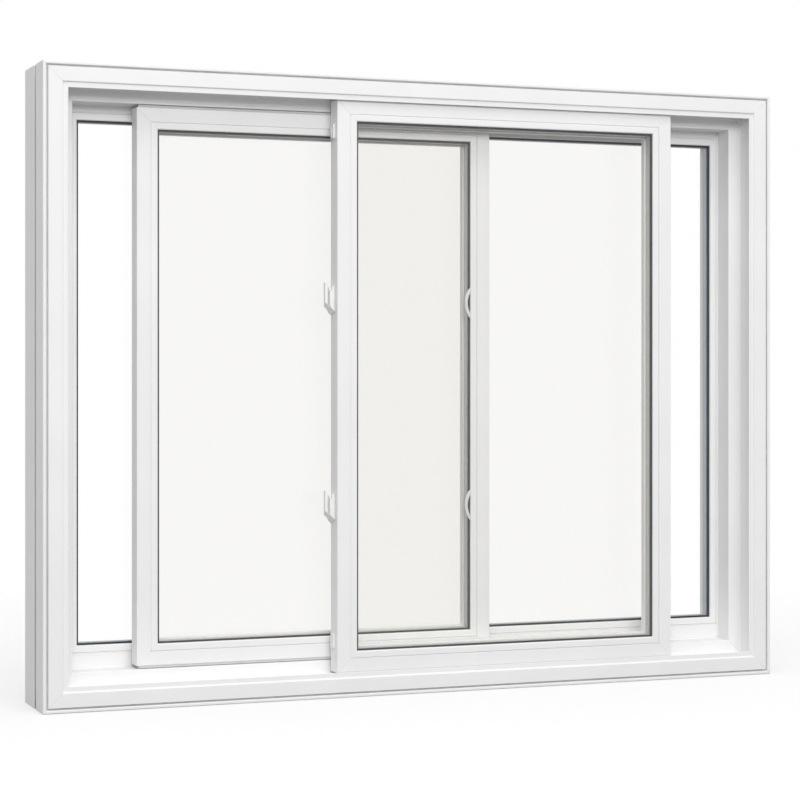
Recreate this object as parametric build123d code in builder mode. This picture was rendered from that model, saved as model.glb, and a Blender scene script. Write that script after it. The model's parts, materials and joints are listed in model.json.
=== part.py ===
"""Horizontal sliding window: a mitred master frame, two sliding sashes and a fixed outer lite.

X runs along the width, Y away from the room and Z up. The origin is at the bottom centre of the frame.
Depths are counted from the room face of the frame, and insets inwards from the outer edge.
"""

import os

from build123d import *

os.makedirs("parts", exist_ok=True)

# Overall size of the frame
frame_width = 1524.0
frame_height = 1200.0
frame_depth = 164.0

# Master frame section: bead, groove, face, ridge and lip towards the room, then two tracks
edge_bead = 6.5
edge_groove_width = 3.5
edge_groove_depth = 9.0
ridge_inset = 38.0
ridge_depth = 3.0
ridge_radius = 2.5
lip_inset = 44.5
lip_depth = 5.5
lip_radius = 2.0
lip_drop = 3.5
track_cove = 4.0
inner_step = 26.0
land_width = 2.5
rear_lip_height = 11.0
rear_bevel = 9.0
side_groove_place = 64.0
side_groove_width = 14.0
side_groove_depth = 11.0
side_groove_lip = 1.5
side_groove_undercut = 12.0
soft_edge = 2.0

# Sashes: thickness, gaps around them and how far the photograph shows them open
sash_front = 10.5
sash_thickness = 39.0
sash_gap = 5.5
running_gap = 5.5
sash_face = 27.0
sash_leg_show = 7.5
left_sash_open = 117.5
right_sash_open = 179.5
rail_channel_depth = 8.0
rail_channel_width = 16.0
glide_length = 60.0
glide_clearance = 0.3
glide_from_end = 70.0

# Glazing: beads, seals and sealed units
bead_width = 14.0
bead_chamfer = 1.5
bead_radius = 2.5
sash_bead_depth = 5.0
lite_bead_depth = 6.0
seal_thickness = 1.5
seal_cover = 5.0
seal_show = 3.5
glass_edge_gap = 3.0
sash_pane = 3.0
sash_cavity = 13.0
lite_pane = 4.0
lite_cavity = 14.0
spacer_cover = 9.0
spacer_show = 4.5

# Fixed outer lite
lite_edge = 2.0
lite_rear_leg = 14.0
lite_head_packer = 11.0
lite_sill_packer = 25.5

# Stops and latches on the edge of the meeting stile, and the keepers of the latches
edge_place = 22.0
stop_height = 28.0
stop_depth = 17.0
stop_projection = 4.0
stop_pocket = 1.5
stop_wall = 4.0
stop_round = 1.5
stop_from_end = 60.0
latch_height = 58.0
latch_body = 10.0
latch_body_depth = 15.0
latch_boss_radius = 4.5
latch_slot = 4.5
latch_lever = 4.5
latch_lever_depth = 10.0
latch_lever_rise = 5.5
latch_heel = 10.0
latch_point = 8.0
latch_slope = (-19.0, -14.0, -18.0)
latch_heights = {"upper": 765.0, "lower": 362.0}
keeper_height = 48.0
keeper_reach = 12.0
keeper_thickness = 4.0
keeper_bar = 6.0
keeper_foot = 8.0

# Places that follow from the sizes above
front_y = -frame_depth / 2
floor_1 = lip_inset - lip_drop
step_depth = sash_front + sash_thickness + sash_gap
floor_2 = floor_1 + inner_step
lite_depth = step_depth + sash_thickness + sash_gap
lite_inset = floor_2 + land_width
lite_thickness = lite_bead_depth + seal_thickness + 2 * lite_pane + lite_cavity
rear_lip_depth = lite_depth + lite_thickness + lite_rear_leg
rear_lip_inset = lite_inset + rear_lip_height
sash_width_of_member = sash_face + bead_width
right_inset = floor_1 + running_gap
left_inset = floor_2 + running_gap
half_width = frame_width / 2
sash_width = (frame_width - right_inset - left_inset + sash_width_of_member) / 2
sash_rebate = sash_bead_depth + seal_thickness + 2 * sash_pane + sash_cavity

# Outer bounds of each ring of members: left, right, bottom, top
frame_bounds = (-half_width, half_width, 0.0, frame_height)
lite_bounds = (
    lite_inset - half_width,
    half_width - lite_inset,
    lite_inset + lite_sill_packer,
    frame_height - lite_inset - lite_head_packer,
)
left_sash_left = left_inset - half_width + left_sash_open
left_bounds = (left_sash_left, left_sash_left + sash_width, left_inset, frame_height - left_inset)
right_sash_right = half_width - right_inset - right_sash_open
right_bounds = (right_sash_right - sash_width, right_sash_right, right_inset, frame_height - right_inset)
left_sash_front = step_depth
lite_glazing = lite_depth + lite_bead_depth


def save_piece(part, name):
    """Label a finished piece and write it to its own file."""
    part.label = name
    export_step(part, f"parts/{name}.step")


def inset(bounds, distance):
    """The same bounds moved inwards on all four sides."""
    left, right, bottom, top = bounds
    return left + distance, right - distance, bottom + distance, top - distance


def edge_plane(bounds, side):
    """Section plane at the middle of one side: local x points inwards and local y is the depth."""
    left, right, bottom, top = bounds
    middle_x = (left + right) / 2
    middle_z = (bottom + top) / 2
    places = {
        "bottom": ((middle_x, front_y, bottom), (0, 0, 1), (-1, 0, 0)),
        "top": ((middle_x, front_y, top), (0, 0, -1), (1, 0, 0)),
        "left": ((left, front_y, middle_z), (1, 0, 0), (0, 0, 1)),
        "right": ((right, front_y, middle_z), (-1, 0, 0), (0, 0, -1)),
    }
    origin, inwards, along = places[side]
    return Plane(origin=origin, x_dir=inwards, z_dir=along)


def side_length(bounds, side):
    """Outer length of one side of the bounds."""
    left, right, bottom, top = bounds
    if side in ("left", "right"):
        return top - bottom
    return right - left


def mitred_bar(bounds, side, outline, rounds=()):
    """One side of a ring: the section extruded along the side and cut at 45 degrees at both ends."""
    plane = edge_plane(bounds, side)
    reach = side_length(bounds, side) / 2
    with BuildPart() as bar:
        with BuildSketch(plane) as section:
            with BuildLine():
                Polyline(*outline, close=True)
            make_face()
            for corner, radius in rounds:
                fillet(section.vertices().sort_by_distance((*corner, 0))[0], radius)
        extrude(amount=reach, both=True)
        for end in (1, -1):
            corner = plane.origin + plane.z_dir * (end * reach)
            mitre = Plane(origin=corner, z_dir=plane.x_dir + plane.z_dir * end)
            split(bisect_by=mitre, keep=Keep.BOTTOM)
    return bar.part


def upright_plane(bounds, depth):
    """Plane at a depth, facing the room, centred on the bounds."""
    left, right, bottom, top = bounds
    return Plane(
        origin=((left + right) / 2, front_y + depth, (bottom + top) / 2),
        x_dir=(1, 0, 0),
        z_dir=(0, 1, 0),
    )


def flat_ring(outer, inner, depth, thickness):
    """Closed ring between two bounds."""
    with BuildPart() as ring:
        with BuildSketch(upright_plane(outer, depth)):
            Rectangle(outer[1] - outer[0], outer[3] - outer[2])
            Rectangle(inner[1] - inner[0], inner[3] - inner[2], mode=Mode.SUBTRACT)
        extrude(amount=thickness)
    return ring.part


def glazed_unit(name, rebate, glazing, pane, cavity):
    """Two panes, the spacer bar between them and the seal under the bead."""
    daylight = inset(rebate, bead_width)
    glass = inset(rebate, glass_edge_gap)
    front_pane = glazing + seal_thickness
    with BuildPart() as panes:
        for depth in (front_pane, front_pane + pane + cavity):
            with BuildSketch(upright_plane(glass, depth)):
                Rectangle(glass[1] - glass[0], glass[3] - glass[2])
            extrude(amount=pane)
    save_piece(panes.part, f"{name}_glass")
    spacer_outer = inset(daylight, -spacer_cover)
    spacer = flat_ring(spacer_outer, inset(daylight, spacer_show), front_pane + pane, cavity)
    save_piece(spacer, f"{name}_spacer")
    seal = flat_ring(inset(daylight, -seal_cover), inset(daylight, seal_show), glazing, seal_thickness)
    save_piece(seal, f"{name}_seal")


def glazing_beads(name, rebate, depth, bead_depth):
    """Four mitred beads that hold a unit in its rebate."""
    rear = depth + bead_depth
    outline = [
        (0, depth + bead_chamfer),
        (bead_chamfer, depth),
        (bead_width, depth),
        (bead_width, rear),
        (0, rear),
    ]
    for side in ("top", "bottom", "left", "right"):
        bead = mitred_bar(rebate, side, outline, [((bead_width, depth), bead_radius)])
        save_piece(bead, f"{name}_{side}_bead")


# Master frame
groove_end = edge_bead + edge_groove_width
side_groove_end = side_groove_place + side_groove_width
frame_outline = [
    (0, 0),
    (edge_bead, 0),
    (edge_bead, edge_groove_depth),
    (groove_end, edge_groove_depth),
    (groove_end, 0),
    (ridge_inset, 0),
    (ridge_inset, ridge_depth),
    (lip_inset, ridge_depth),
    (lip_inset, lip_depth),
    (floor_1, lip_depth),
    (floor_1, step_depth - track_cove),
    (floor_1 + track_cove, step_depth),
    (floor_2, step_depth),
    (floor_2, lite_depth),
    (lite_inset, lite_depth),
    (lite_inset, rear_lip_depth),
    (rear_lip_inset, rear_lip_depth),
    (rear_lip_inset, frame_depth - rear_bevel),
    (rear_lip_inset - rear_bevel, frame_depth),
    (0, frame_depth),
    (0, side_groove_end),
    (side_groove_lip, side_groove_end),
    (side_groove_lip, side_groove_end + side_groove_undercut),
    (side_groove_depth, side_groove_end + side_groove_undercut),
    (side_groove_depth, side_groove_place),
    (0, side_groove_place),
]
frame_rounds = [
    ((0, 0), soft_edge),
    ((edge_bead, 0), soft_edge),
    ((ridge_inset, 0), ridge_radius),
    ((lip_inset, ridge_depth), lip_radius),
    ((floor_2, step_depth), soft_edge),
]
frame_names = {"top": "head", "bottom": "sill", "left": "left_jamb", "right": "right_jamb"}
for side, member in frame_names.items():
    save_piece(mitred_bar(frame_bounds, side, frame_outline, frame_rounds), f"frame_{member}")

# Fixed outer lite: packers on the head and sill, a ring of rebated members, beads and the sealed unit
lite_width = lite_bounds[1] - lite_bounds[0]
lite_rear = lite_depth + lite_thickness
packers = {
    "head": (lite_head_packer, lite_bounds[3] + lite_head_packer / 2),
    "sill": (lite_sill_packer, lite_bounds[2] - lite_sill_packer / 2),
}
for member, (packer_height, height) in packers.items():
    with BuildPart() as packer:
        with BuildSketch(Plane(origin=(0, front_y + lite_depth, height), x_dir=(1, 0, 0), z_dir=(0, 1, 0))):
            Rectangle(lite_width, packer_height)
        extrude(amount=lite_thickness + lite_rear_leg)
    save_piece(packer.part, f"lite_{member}_packer")
lite_outline = [
    (0, lite_depth),
    (lite_edge, lite_depth),
    (lite_edge, lite_rear),
    (lite_edge + bead_width, lite_rear),
    (lite_edge + bead_width, lite_rear + lite_rear_leg),
    (0, lite_rear + lite_rear_leg),
]
lite_names = {"top": "top_rail", "bottom": "bottom_rail", "left": "left_stile", "right": "right_stile"}
for side, member in lite_names.items():
    save_piece(mitred_bar(lite_bounds, side, lite_outline), f"lite_{member}")
lite_rebate = inset(lite_bounds, lite_edge)
glazing_beads("lite", lite_rebate, lite_depth, lite_bead_depth)
glazed_unit("lite", lite_rebate, lite_glazing, lite_pane, lite_cavity)


def sash_outlines(front):
    """Sections of a sash's stiles and rails. Only the rails have the channel for the glides."""
    rear = front + sash_thickness
    leg = front + sash_rebate
    body = [
        (0, front),
        (sash_face, front),
        (sash_face, leg),
        (sash_width_of_member + sash_leg_show, leg),
        (sash_width_of_member + sash_leg_show, rear),
        (0, rear),
    ]
    channel_front = front + (sash_thickness - rail_channel_width) / 2
    channel = [
        (0, channel_front + rail_channel_width),
        (rail_channel_depth, channel_front + rail_channel_width),
        (rail_channel_depth, channel_front),
        (0, channel_front),
    ]
    return body, body + channel


def sash(name, bounds, front, meeting_side):
    """Rails, stiles, beads, sealed unit and glides of one sash."""
    stile_outline, rail_outline = sash_outlines(front)
    rounds = [((0, front), soft_edge)]
    lock_side = "left" if meeting_side == "right" else "right"
    save_piece(mitred_bar(bounds, "top", rail_outline, rounds), f"{name}_top_rail")
    save_piece(mitred_bar(bounds, "bottom", rail_outline, rounds), f"{name}_bottom_rail")
    save_piece(mitred_bar(bounds, lock_side, stile_outline, rounds), f"{name}_lock_stile")
    save_piece(mitred_bar(bounds, meeting_side, stile_outline, rounds), f"{name}_meeting_stile")
    rebate = inset(bounds, sash_face)
    glazing_beads(name, rebate, front, sash_bead_depth)
    glazed_unit(name, rebate, front + sash_bead_depth, sash_pane, sash_cavity)
    glide_top = bounds[2] + rail_channel_depth
    glide_height = rail_channel_depth + running_gap - glide_clearance
    glide_width = rail_channel_width - 2 * glide_clearance
    with BuildPart() as glides:
        for x in (bounds[0] + glide_from_end, bounds[1] - glide_from_end - glide_length):
            middle = (x + glide_length / 2, front_y + front + sash_thickness / 2, glide_top)
            with BuildSketch(Plane(origin=middle)):
                RectangleRounded(glide_length, glide_width, soft_edge)
            extrude(amount=-glide_height)
    save_piece(glides.part, f"{name}_glides")


sash("left_sash", left_bounds, left_sash_front, "right")
sash("right_sash", right_bounds, sash_front, "left")

# Stops near the ends of the right sash's meeting edge, each with a shallow pocket
meeting_edge = right_bounds[0]
edge_y = front_y + sash_front + edge_place
stop_heights = (right_bounds[2] + stop_from_end, right_bounds[3] - stop_from_end)
with BuildPart() as stops:
    for height in stop_heights:
        stop_plane = Plane(origin=(meeting_edge, edge_y, height), x_dir=(0, -1, 0), z_dir=(-1, 0, 0))
        with BuildSketch(stop_plane):
            RectangleRounded(stop_depth, stop_height, stop_round)
        extrude(amount=stop_projection)
        with BuildSketch(stop_plane.offset(stop_projection)):
            RectangleRounded(stop_depth - 2 * stop_wall, stop_height - 2 * stop_wall, stop_round)
        extrude(amount=-stop_pocket, mode=Mode.SUBTRACT)
save_piece(stops.part, "right_sash_edge_stops")

# Latches: a notched body with a round boss above and a sloped point below, in one with a thumb lever
lever_inner = latch_body + latch_slot
lever_outer = lever_inner + latch_lever
lever_top = latch_height + latch_lever_rise
lever_root = latch_point + 2 * latch_heel
notch_floor = latch_height - 2 * latch_boss_radius
notch_side = latch_body - latch_boss_radius
for place, height in latch_heights.items():
    foot = (meeting_edge, edge_y, height - latch_height / 2)
    profile_plane = Plane(origin=foot, x_dir=(-1, 0, 0), z_dir=(0, 1, 0))
    with BuildPart() as latch:
        with BuildSketch(profile_plane):
            with BuildLine():
                Polyline(
                    (0, latch_height),
                    (0, latch_point),
                    (latch_body / 2, 0),
                    (latch_body, latch_point),
                    (latch_body, notch_floor),
                    (notch_side, notch_floor),
                    (notch_side, latch_height),
                    close=True,
                )
            make_face()
        extrude(amount=latch_body_depth / 2, both=True)
        with BuildSketch(profile_plane):
            with Locations((notch_side, latch_height - latch_boss_radius)):
                Circle(latch_boss_radius)
        extrude(amount=latch_body_depth / 2)
        with BuildSketch(profile_plane):
            with BuildLine():
                root = Line((latch_body, latch_point + latch_heel), (latch_body, latch_point))
                heel = Spline(root @ 1, (lever_outer, lever_root), tangents=[(1, 0), (0, 1)])
                outside = Line(heel @ 1, (lever_outer, lever_top))
                tip = RadiusArc(outside @ 1, (lever_inner, lever_top), -latch_lever / 2)
                inside = Line(tip @ 1, (lever_inner, lever_root))
                Spline(inside @ 1, root @ 0, tangents=[(0, -1), (-1, 0)])
            make_face()
        extrude(amount=latch_lever_depth / 2, both=True)
        slope = Plane(
            origin=(meeting_edge, edge_y - latch_body_depth / 2, foot[2] + latch_point),
            z_dir=latch_slope,
        )
        split(bisect_by=slope, keep=Keep.BOTTOM)
    save_piece(latch.part, f"right_sash_{place}_latch")

# Keepers: bows that stand on the meeting bead of the left sash, in front of its glass
keeper_x = left_bounds[1] - sash_width_of_member
keeper_front = left_sash_front + (sash_bead_depth - keeper_thickness) / 2
with BuildPart() as keepers:
    for height in latch_heights.values():
        plane = Plane(origin=(keeper_x, front_y + keeper_front, height), x_dir=(-1, 0, 0), z_dir=(0, 1, 0))
        with BuildSketch(plane):
            with BuildLine():
                half = keeper_height / 2
                outer = ThreePointArc((0, -half), (keeper_reach, 0), (0, half))
                step_in = Line(outer @ 1, (0, half - keeper_foot))
                hole = ThreePointArc(step_in @ 1, (keeper_reach - keeper_bar, 0), (0, keeper_foot - half))
                Line(hole @ 1, outer @ 0)
            make_face()
        extrude(amount=keeper_thickness)
save_piece(keepers.part, "left_sash_keepers")
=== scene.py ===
"""Finish of the sliding window: softened vinyl, beads, seals, glass and hardware, in a white studio."""

import json
import math

import bmesh
import bpy
from mathutils import Matrix, Vector

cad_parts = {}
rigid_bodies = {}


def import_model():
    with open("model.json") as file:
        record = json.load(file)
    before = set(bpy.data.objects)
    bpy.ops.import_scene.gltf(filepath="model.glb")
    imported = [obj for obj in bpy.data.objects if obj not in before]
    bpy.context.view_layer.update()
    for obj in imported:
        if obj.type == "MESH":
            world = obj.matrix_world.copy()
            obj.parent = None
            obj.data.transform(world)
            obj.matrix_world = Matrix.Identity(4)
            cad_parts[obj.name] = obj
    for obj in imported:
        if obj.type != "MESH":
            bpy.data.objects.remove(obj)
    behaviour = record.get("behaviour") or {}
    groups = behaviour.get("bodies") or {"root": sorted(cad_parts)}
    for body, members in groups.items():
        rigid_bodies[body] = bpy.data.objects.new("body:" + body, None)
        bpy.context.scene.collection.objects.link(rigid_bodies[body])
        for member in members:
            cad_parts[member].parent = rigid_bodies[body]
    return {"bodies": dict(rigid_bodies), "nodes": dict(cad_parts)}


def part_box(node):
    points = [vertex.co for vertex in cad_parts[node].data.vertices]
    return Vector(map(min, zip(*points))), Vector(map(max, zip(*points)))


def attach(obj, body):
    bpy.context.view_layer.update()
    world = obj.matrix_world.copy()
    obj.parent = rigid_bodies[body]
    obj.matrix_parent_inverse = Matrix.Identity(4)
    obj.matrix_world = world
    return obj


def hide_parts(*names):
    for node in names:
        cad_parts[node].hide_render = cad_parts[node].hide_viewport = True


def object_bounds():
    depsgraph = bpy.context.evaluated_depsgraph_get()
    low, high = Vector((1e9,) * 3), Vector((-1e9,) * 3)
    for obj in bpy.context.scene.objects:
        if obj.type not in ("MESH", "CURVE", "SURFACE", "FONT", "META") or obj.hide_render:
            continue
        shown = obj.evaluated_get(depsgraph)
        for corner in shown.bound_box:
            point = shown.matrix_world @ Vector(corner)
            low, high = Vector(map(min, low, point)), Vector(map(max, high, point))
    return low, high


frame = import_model()
cad_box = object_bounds()
body_of_node = {
    node: next((body for body in frame["bodies"] if node.startswith(body)), "frame")
    for node in frame["nodes"]
}


# Finishes: noise sizes are counted per metre, bump distances in metres

unstretched = (1.0, 1.0, 1.0)
noise_low, noise_high = 0.3, 0.7


def new_finish(name):
    """New node material, with its node tree, its shader and the object coordinates."""
    finish = bpy.data.materials.new(name)
    finish.use_nodes = True
    tree = finish.node_tree
    shader = tree.nodes["Principled BSDF"]
    place = tree.nodes.new("ShaderNodeTexCoord").outputs["Object"]
    return finish, tree, shader, place


def stretched_noise(tree, place, scale, size, detail):
    """Noise pulled out by a scale on each axis."""
    mapping = tree.nodes.new("ShaderNodeMapping")
    mapping.inputs["Scale"].default_value = scale
    tree.links.new(place, mapping.inputs["Vector"])
    noise = tree.nodes.new("ShaderNodeTexNoise")
    noise.inputs["Scale"].default_value = size
    noise.inputs["Detail"].default_value = detail
    tree.links.new(mapping.outputs["Vector"], noise.inputs["Vector"])
    return noise.outputs["Fac"]


def toned(tree, factor, low, high):
    """Two close tones chosen by a factor."""
    ramp = tree.nodes.new("ShaderNodeValToRGB")
    ramp.color_ramp.elements[0].position = noise_low
    ramp.color_ramp.elements[0].color = (*low, 1.0)
    ramp.color_ramp.elements[1].position = noise_high
    ramp.color_ramp.elements[1].color = (*high, 1.0)
    tree.links.new(factor, ramp.inputs["Fac"])
    return ramp.outputs["Color"]


def ranged(tree, factor, low, high):
    """A factor spread between two values."""
    spread = tree.nodes.new("ShaderNodeMapRange")
    spread.inputs["From Min"].default_value = noise_low
    spread.inputs["From Max"].default_value = noise_high
    spread.inputs["To Min"].default_value = low
    spread.inputs["To Max"].default_value = high
    tree.links.new(factor, spread.inputs["Value"])
    return spread.outputs["Result"]


def bumped(tree, height, strength, distance, under=None):
    """Bump of a height, laid over a finer bump where one is given."""
    bump = tree.nodes.new("ShaderNodeBump")
    bump.inputs["Strength"].default_value = strength
    bump.inputs["Distance"].default_value = distance
    tree.links.new(height, bump.inputs["Height"])
    if under:
        tree.links.new(under, bump.inputs["Normal"])
    return bump.outputs["Normal"]


def extruded_vinyl(name, along, low, high, rough):
    """White extruded vinyl: faint die lines along the member, soft mottling and a satin skin."""
    finish, tree, shader, place = new_finish(name)
    across_lines, along_lines, rough_spread = 260.0, 1.5, 0.05
    lines_scale = {
        "x": (along_lines, across_lines, across_lines),
        "z": (across_lines, across_lines, along_lines),
    }[along]
    die_lines = stretched_noise(tree, place, lines_scale, 1.0, 3.0)
    mottle = stretched_noise(tree, place, unstretched, 9.0, 4.0)
    skin = stretched_noise(tree, place, unstretched, 1400.0, 2.0)
    roughness = ranged(tree, die_lines, rough - rough_spread, rough + rough_spread)
    fine = bumped(tree, skin, 0.12, 0.00004)
    tree.links.new(toned(tree, mottle, low, high), shader.inputs["Base Color"])
    tree.links.new(roughness, shader.inputs["Roughness"])
    tree.links.new(bumped(tree, die_lines, 0.18, 0.00006, fine), shader.inputs["Normal"])
    shader.inputs["IOR"].default_value = 1.46
    shader.inputs["Specular IOR Level"].default_value = 0.4
    return finish


def moulded_plastic(name, low, high, rough, grain):
    """Moulded plastic or rubber with a fine spark grain."""
    finish, tree, shader, place = new_finish(name)
    rough_spread = 0.06
    mottle = stretched_noise(tree, place, unstretched, 40.0, 3.0)
    spark = stretched_noise(tree, place, unstretched, grain, 2.0)
    roughness = ranged(tree, spark, rough - rough_spread, rough + rough_spread)
    tree.links.new(toned(tree, mottle, low, high), shader.inputs["Base Color"])
    tree.links.new(roughness, shader.inputs["Roughness"])
    tree.links.new(bumped(tree, spark, 0.25, 0.00008), shader.inputs["Normal"])
    return finish


def brushed_pile(name, low, high):
    """Dense nylon pile: upright fibres seen as fine streaks."""
    finish, tree, shader, place = new_finish(name)
    fibres = stretched_noise(tree, place, (1800.0, 1800.0, 60.0), 1.0, 2.0)
    tree.links.new(toned(tree, fibres, low, high), shader.inputs["Base Color"])
    tree.links.new(bumped(tree, fibres, 0.5, 0.0002), shader.inputs["Normal"])
    shader.inputs["Roughness"].default_value = 0.85
    shader.inputs["Sheen Weight"].default_value = 0.3
    return finish


def spacer_metal(name, low, high):
    """Rolled spacer bar covered in fine breather marks."""
    finish, tree, shader, place = new_finish(name)
    rolled = stretched_noise(tree, place, (30.0, 30.0, 30.0), 1.0, 3.0)
    marks = tree.nodes.new("ShaderNodeTexVoronoi")
    marks.inputs["Scale"].default_value = 260.0
    tree.links.new(place, marks.inputs["Vector"])
    tree.links.new(toned(tree, rolled, low, high), shader.inputs["Base Color"])
    tree.links.new(ranged(tree, rolled, 0.36, 0.5), shader.inputs["Roughness"])
    tree.links.new(bumped(tree, marks.outputs["Distance"], 0.2, 0.0001), shader.inputs["Normal"])
    shader.inputs["Metallic"].default_value = 0.35
    return finish


def clear_pane(name, tint):
    """Clear glass with a faint tint, weak reflections and the slightest waviness."""
    finish, tree, shader, place = new_finish(name)
    wave = stretched_noise(tree, place, unstretched, 3.0, 1.0)
    tree.links.new(bumped(tree, wave, 0.02, 0.0005), shader.inputs["Normal"])
    shader.inputs["Base Color"].default_value = (*tint, 1.0)
    shader.inputs["Roughness"].default_value = 0.0
    shader.inputs["IOR"].default_value = 1.2
    shader.inputs["Transmission Weight"].default_value = 1.0
    return finish


white_low, white_high = (0.835, 0.838, 0.835), (0.865, 0.866, 0.862)
vinyl_roughness = {"frame": 0.48, "sash": 0.46, "bead": 0.42}
vinyl = {
    (kind, along): extruded_vinyl(f"{kind} vinyl along {along}", along, white_low, white_high, rough)
    for kind, rough in vinyl_roughness.items()
    for along in "xz"
}
hardware_rough, hardware_grain = 0.38, 1100.0
latch_plastic = moulded_plastic(
    "latch plastic", (0.85, 0.85, 0.845), (0.90, 0.90, 0.895), hardware_rough, hardware_grain,
)
keeper_plastic = moulded_plastic(
    "keeper plastic", (0.68, 0.68, 0.67), (0.74, 0.74, 0.73), hardware_rough, hardware_grain,
)
glide_nylon = moulded_plastic("glide nylon", (0.46, 0.46, 0.44), (0.54, 0.54, 0.52), 0.45, 800.0)
# Pile strip tone: partly the grey of the nylon itself and partly painted shade. It is darkened to stand for
# the shade in the running gap at the rear sash's top and bottom rails.
pile_nylon_painted_shade = brushed_pile("pile nylon", (0.56, 0.56, 0.55), (0.66, 0.66, 0.65))
seal_rough, seal_grain = 0.6, 700.0
lite_seal_rubber = moulded_plastic(
    "lite seal rubber", (0.020, 0.023, 0.026), (0.030, 0.034, 0.037), seal_rough, seal_grain,
)
sash_seal_rubber = moulded_plastic(
    "sash seal rubber", (0.050, 0.052, 0.053), (0.066, 0.068, 0.069), seal_rough, seal_grain,
)
lite_spacer_metal = spacer_metal("lite spacer metal", (0.40, 0.45, 0.48), (0.46, 0.51, 0.54))
sash_spacer_metal = spacer_metal("sash spacer metal", (0.50, 0.51, 0.48), (0.56, 0.57, 0.54))
sash_pane = clear_pane("sash pane", (0.968, 0.964, 0.955))
lite_pane = clear_pane("lite pane", (0.998, 1.0, 0.999))


# Window pieces

def rounded(shape, edges, width, segments, clamped):
    """Round some edges of a shape."""
    bmesh.ops.bevel(
        shape, geom=edges, offset=width, offset_type="OFFSET", affect="EDGES", segments=segments,
        profile=0.5, material=-1, clamp_overlap=clamped,
    )


def window_piece(shape, name, finish, body, sharp_degrees=None):
    """Make a piece of a shape, smooth up to an angle where one is given, riding on a body."""
    for face in shape.faces:
        face.smooth = sharp_degrees is not None
    mesh = bpy.data.meshes.new(name)
    shape.to_mesh(mesh)
    shape.free()
    if sharp_degrees is not None:
        mesh.set_sharp_from_angle(angle=math.radians(sharp_degrees))
    mesh.materials.append(finish)
    piece = bpy.data.objects.new(name, mesh)
    bpy.context.scene.collection.objects.link(piece)
    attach(piece, body)
    return piece


def drawn_out(shape, node):
    """Draw each bow of the keepers out along its length, about its own middle."""
    low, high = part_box(node)
    half_bow, draw = 0.024, 1.3
    between = (low[2] + high[2]) / 2
    for middle, lower in ((low[2] + half_bow, True), (high[2] - half_bow, False)):
        bow = [v for v in shape.verts if (v.co.z < between) == lower]
        about = Matrix.Translation((0.0, 0.0, -middle))
        bmesh.ops.scale(shape, vec=(1.0, 1.0, draw), space=about, verts=bow)


def softened(node, finish, width, segments=2):
    """The node's shape with its sharp edges rounded, riding on the node's own body."""
    merge_gap, flat_angle, edge_angle, shade_degrees = 0.00001, math.radians(0.5), math.radians(34), 50
    shape = bmesh.new()
    shape.from_mesh(frame["nodes"][node].data)
    bmesh.ops.remove_doubles(shape, verts=shape.verts, dist=merge_gap)
    if node.endswith("_keepers"):
        drawn_out(shape, node)
    bmesh.ops.dissolve_limit(shape, angle_limit=flat_angle, verts=shape.verts, edges=shape.edges)
    sharp = [edge for edge in shape.edges if edge.is_manifold and edge.calc_face_angle() > edge_angle]
    rounded(shape, sharp, width, segments, clamped=False)
    piece = window_piece(shape, f"{node}_finished", finish, body_of_node[node], shade_degrees)
    level = piece.modifiers.new("even shading", "WEIGHTED_NORMAL")
    level.keep_sharp = True
    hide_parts(node)


def refinished(node, finish):
    """Give a node that is carried over as it is its finish."""
    mesh = frame["nodes"][node].data
    mesh.materials.clear()
    mesh.materials.append(finish)


upright = ("jamb", "stile", "left_bead", "right_bead")
bead_edge, sash_edge, frame_edge, hardware_edge, hardware_segments = 0.0004, 0.0005, 0.0006, 0.0008, 3
for node, thing in frame["nodes"].items():
    along = "z" if node.endswith(upright) else "x"
    of_lite = node.startswith("lite")
    if node.endswith("_glass"):
        refinished(node, lite_pane if of_lite else sash_pane)
        thing.visible_shadow = thing.visible_diffuse = thing.visible_glossy = False
    elif node.endswith("_spacer"):
        refinished(node, lite_spacer_metal if of_lite else sash_spacer_metal)
    elif node.endswith("_seal"):
        refinished(node, lite_seal_rubber if of_lite else sash_seal_rubber)
    elif node.endswith("_glides"):
        refinished(node, glide_nylon)
    elif node.endswith("_bead"):
        softened(node, vinyl["bead", along], bead_edge)
    elif node.endswith("_keepers"):
        softened(node, keeper_plastic, hardware_edge, hardware_segments)
    elif node.endswith(("_latch", "_stops")):
        softened(node, latch_plastic, hardware_edge, hardware_segments)
    elif node.startswith(("left_sash", "right_sash")):
        softened(node, vinyl["sash", along], sash_edge)
    else:
        softened(node, vinyl["frame", along], frame_edge)


def track_lip():
    """Thin lip round the frame's opening that covers the running gap of the front sash."""
    low, high = cad_box
    inset, rise, thickness, set_back, round_edge = 0.0415, 0.0065, 0.0026, 0.0029, 0.0009
    square_angle = math.radians(60)
    front = low[1] + set_back
    left, right, bottom, top = low[0] + inset, high[0] - inset, low[2] + inset, high[2] - inset
    shape = bmesh.new()
    corners = ((left, bottom), (right, bottom), (right, top), (left, top))
    panel = shape.faces.new([shape.verts.new((x, front, z)) for x, z in corners])
    panel.normal_update()
    bmesh.ops.inset_individual(shape, faces=[panel], thickness=rise, use_even_offset=True)
    bmesh.ops.delete(shape, geom=[panel], context="FACES_ONLY")
    strip = bmesh.ops.extrude_face_region(shape, geom=shape.faces[:])
    back = [v for v in strip["geom"] if isinstance(v, bmesh.types.BMVert)]
    bmesh.ops.translate(shape, verts=back, vec=(0.0, thickness, 0.0))
    bmesh.ops.recalc_face_normals(shape, faces=shape.faces[:])
    inner = [
        edge for edge in shape.edges
        if all(abs(v.co.x) < right - rise / 2 for v in edge.verts)
        and all(bottom + rise / 2 < v.co.z < top - rise / 2 for v in edge.verts)
        and edge.calc_face_angle() > square_angle
    ]
    rounded(shape, inner, round_edge, 3, clamped=True)
    window_piece(shape, "track_lip", vinyl["frame", "x"], "frame", 40)


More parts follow.
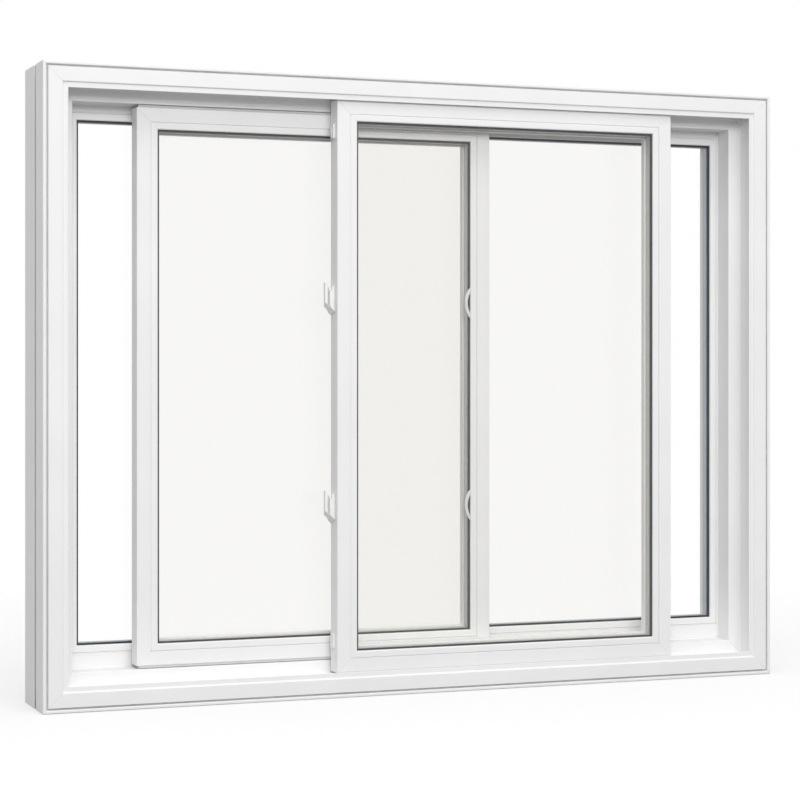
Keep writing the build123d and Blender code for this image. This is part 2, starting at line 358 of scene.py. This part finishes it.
def pile_strip(name, low, high):
    """Nylon pile strip on a rail of the rear sash, trimmed just short of the track that it brushes along."""
    pile_round, shortest_long_edge = 0.0008, 0.1
    low, high = Vector(low), Vector(high)
    shape = bmesh.new()
    bmesh.ops.create_cube(shape, size=1.0)
    bmesh.ops.scale(shape, vec=high - low, verts=shape.verts)
    bmesh.ops.translate(shape, vec=(low + high) / 2, verts=shape.verts)
    long_edges = [
        edge for edge in shape.edges
        if abs(edge.verts[0].co.x - edge.verts[1].co.x) > shortest_long_edge
    ]
    rounded(shape, long_edges, pile_round, 2, clamped=True)
    window_piece(shape, name, pile_nylon_painted_shade, "left_sash")


track_lip()
pile_end, pile_height, pile_from, pile_to = 0.004, 0.0045, 0.0015, 0.0075
rail_low, rail_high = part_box("left_sash_top_rail")
pile_strip(
    "top_pile_strip",
    (rail_low[0] + pile_end, rail_low[1] + pile_from, rail_high[2]),
    (rail_high[0] - pile_end, rail_low[1] + pile_to, rail_high[2] + pile_height),
)
rail_low, rail_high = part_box("left_sash_bottom_rail")
pile_strip(
    "bottom_pile_strip",
    (rail_low[0] + pile_end, rail_low[1] + pile_from, rail_low[2] - pile_height),
    (rail_high[0] - pile_end, rail_low[1] + pile_to, rail_low[2]),
)


# Studio

def highest(tree, first, second):
    """The higher of two values."""
    pick = tree.nodes.new("ShaderNodeMath")
    pick.operation = "MAXIMUM"
    tree.links.new(first, pick.inputs[0])
    tree.links.new(second, pick.inputs[1])
    return pick.outputs["Value"]


def background_rays(tree):
    """One for rays that show the background: from the camera, in gloss and through glass."""
    path = tree.nodes.new("ShaderNodeLightPath").outputs
    return highest(
        tree, highest(tree, path["Is Camera Ray"], path["Is Glossy Ray"]), path["Is Transmission Ray"],
    )


def studio_floor():
    """Pale floor that keeps a soft shadow near the window and fades to the white backdrop further out."""
    floor_radius, floor_drop = 30.0, 0.0003
    bounce_tone, matt_tone = 0.27, 0.92
    fade_from, fade_to, white_at_window = 0.7, 2.2, 0.45
    shape = bmesh.new()
    bmesh.ops.create_circle(shape, cap_ends=True, radius=floor_radius, segments=64)
    mesh = bpy.data.meshes.new("studio_floor")
    shape.to_mesh(mesh)
    shape.free()
    floor = bpy.data.objects.new("studio_floor", mesh)
    floor.location = (0.0, 0.0, -floor_drop)
    bpy.context.scene.collection.objects.link(floor)
    paint = bpy.data.materials.new("studio floor paint")
    paint.use_nodes = True
    tree = paint.node_tree
    tree.nodes.clear()
    output = tree.nodes.new("ShaderNodeOutputMaterial")
    bounce = tree.nodes.new("ShaderNodeBsdfDiffuse")
    bounce.inputs["Color"].default_value = (bounce_tone, bounce_tone, bounce_tone, 1.0)
    matt = tree.nodes.new("ShaderNodeBsdfDiffuse")
    matt.inputs["Color"].default_value = (matt_tone, matt_tone, matt_tone, 1.0)
    white = tree.nodes.new("ShaderNodeEmission")
    fade = tree.nodes.new("ShaderNodeMixShader")
    seen = tree.nodes.new("ShaderNodeMixShader")
    place = tree.nodes.new("ShaderNodeTexCoord")
    away = tree.nodes.new("ShaderNodeVectorMath")
    away.operation = "LENGTH"
    far = tree.nodes.new("ShaderNodeMapRange")
    far.inputs["From Min"].default_value = fade_from
    far.inputs["From Max"].default_value = fade_to
    far.inputs["To Min"].default_value = white_at_window
    tree.links.new(place.outputs["Object"], away.inputs[0])
    tree.links.new(away.outputs["Value"], far.inputs["Value"])
    through_glass = tree.nodes.new("ShaderNodeLightPath").outputs["Is Transmission Ray"]
    tree.links.new(highest(tree, far.outputs["Result"], through_glass), fade.inputs["Fac"])
    tree.links.new(matt.outputs["BSDF"], fade.inputs[1])
    tree.links.new(white.outputs["Emission"], fade.inputs[2])
    tree.links.new(background_rays(tree), seen.inputs["Fac"])
    tree.links.new(bounce.outputs["BSDF"], seen.inputs[1])
    tree.links.new(fade.outputs["Shader"], seen.inputs[2])
    tree.links.new(seen.outputs["Shader"], output.inputs["Surface"])
    mesh.materials.append(paint)


def studio_world(fill):
    """White where it is seen, and an even fill light elsewhere."""
    world = bpy.data.worlds.new("studio")
    world.use_nodes = True
    tree = world.node_tree
    strength = tree.nodes.new("ShaderNodeMapRange")
    strength.inputs["To Min"].default_value = fill
    strength.inputs["To Max"].default_value = 1.0
    tree.links.new(background_rays(tree), strength.inputs["Value"])
    background = tree.nodes["Background"]
    background.inputs["Color"].default_value = (1.0, 1.0, 1.0, 1.0)
    tree.links.new(strength.outputs["Result"], background.inputs["Strength"])
    bpy.context.scene.world = world


def softbox(name, place, target, width, height, power):
    """Large area lamp turned to a target."""
    lamp = bpy.data.lights.new(name, "AREA")
    lamp.shape = "RECTANGLE"
    lamp.size = width
    lamp.size_y = height
    lamp.energy = power
    stand = bpy.data.objects.new(name, lamp)
    stand.location = place
    stand.rotation_euler = (Vector(target) - Vector(place)).to_track_quat("-Z", "Y").to_euler()
    bpy.context.scene.collection.objects.link(stand)


studio_floor()
studio_world(fill=0.74)
window_middle = (0.0, 0.0, 0.6)
softbox("top_softbox", (-0.5, -3.2, 6.8), window_middle, width=5.0, height=3.0, power=118.0)
softbox("front_softbox", (-0.7, -6.0, 2.9), window_middle, width=5.0, height=2.0, power=172.0)

# Level camera, turned to the window's left front and shifted to the photograph's framing
camera = bpy.data.cameras.new("photo_camera")
camera.sensor_width = 36.0
camera.lens = 99.21
camera.shift_y = -0.0381
eye = bpy.data.objects.new("photo_camera", camera)
eye.location = (-1.59677, -4.085147, 0.632257)
eye.rotation_euler = (math.radians(90.0), 0.0, math.radians(-20.979))
bpy.context.scene.collection.objects.link(eye)
bpy.context.scene.camera = eye
bpy.context.scene.view_settings.view_transform = "Standard"
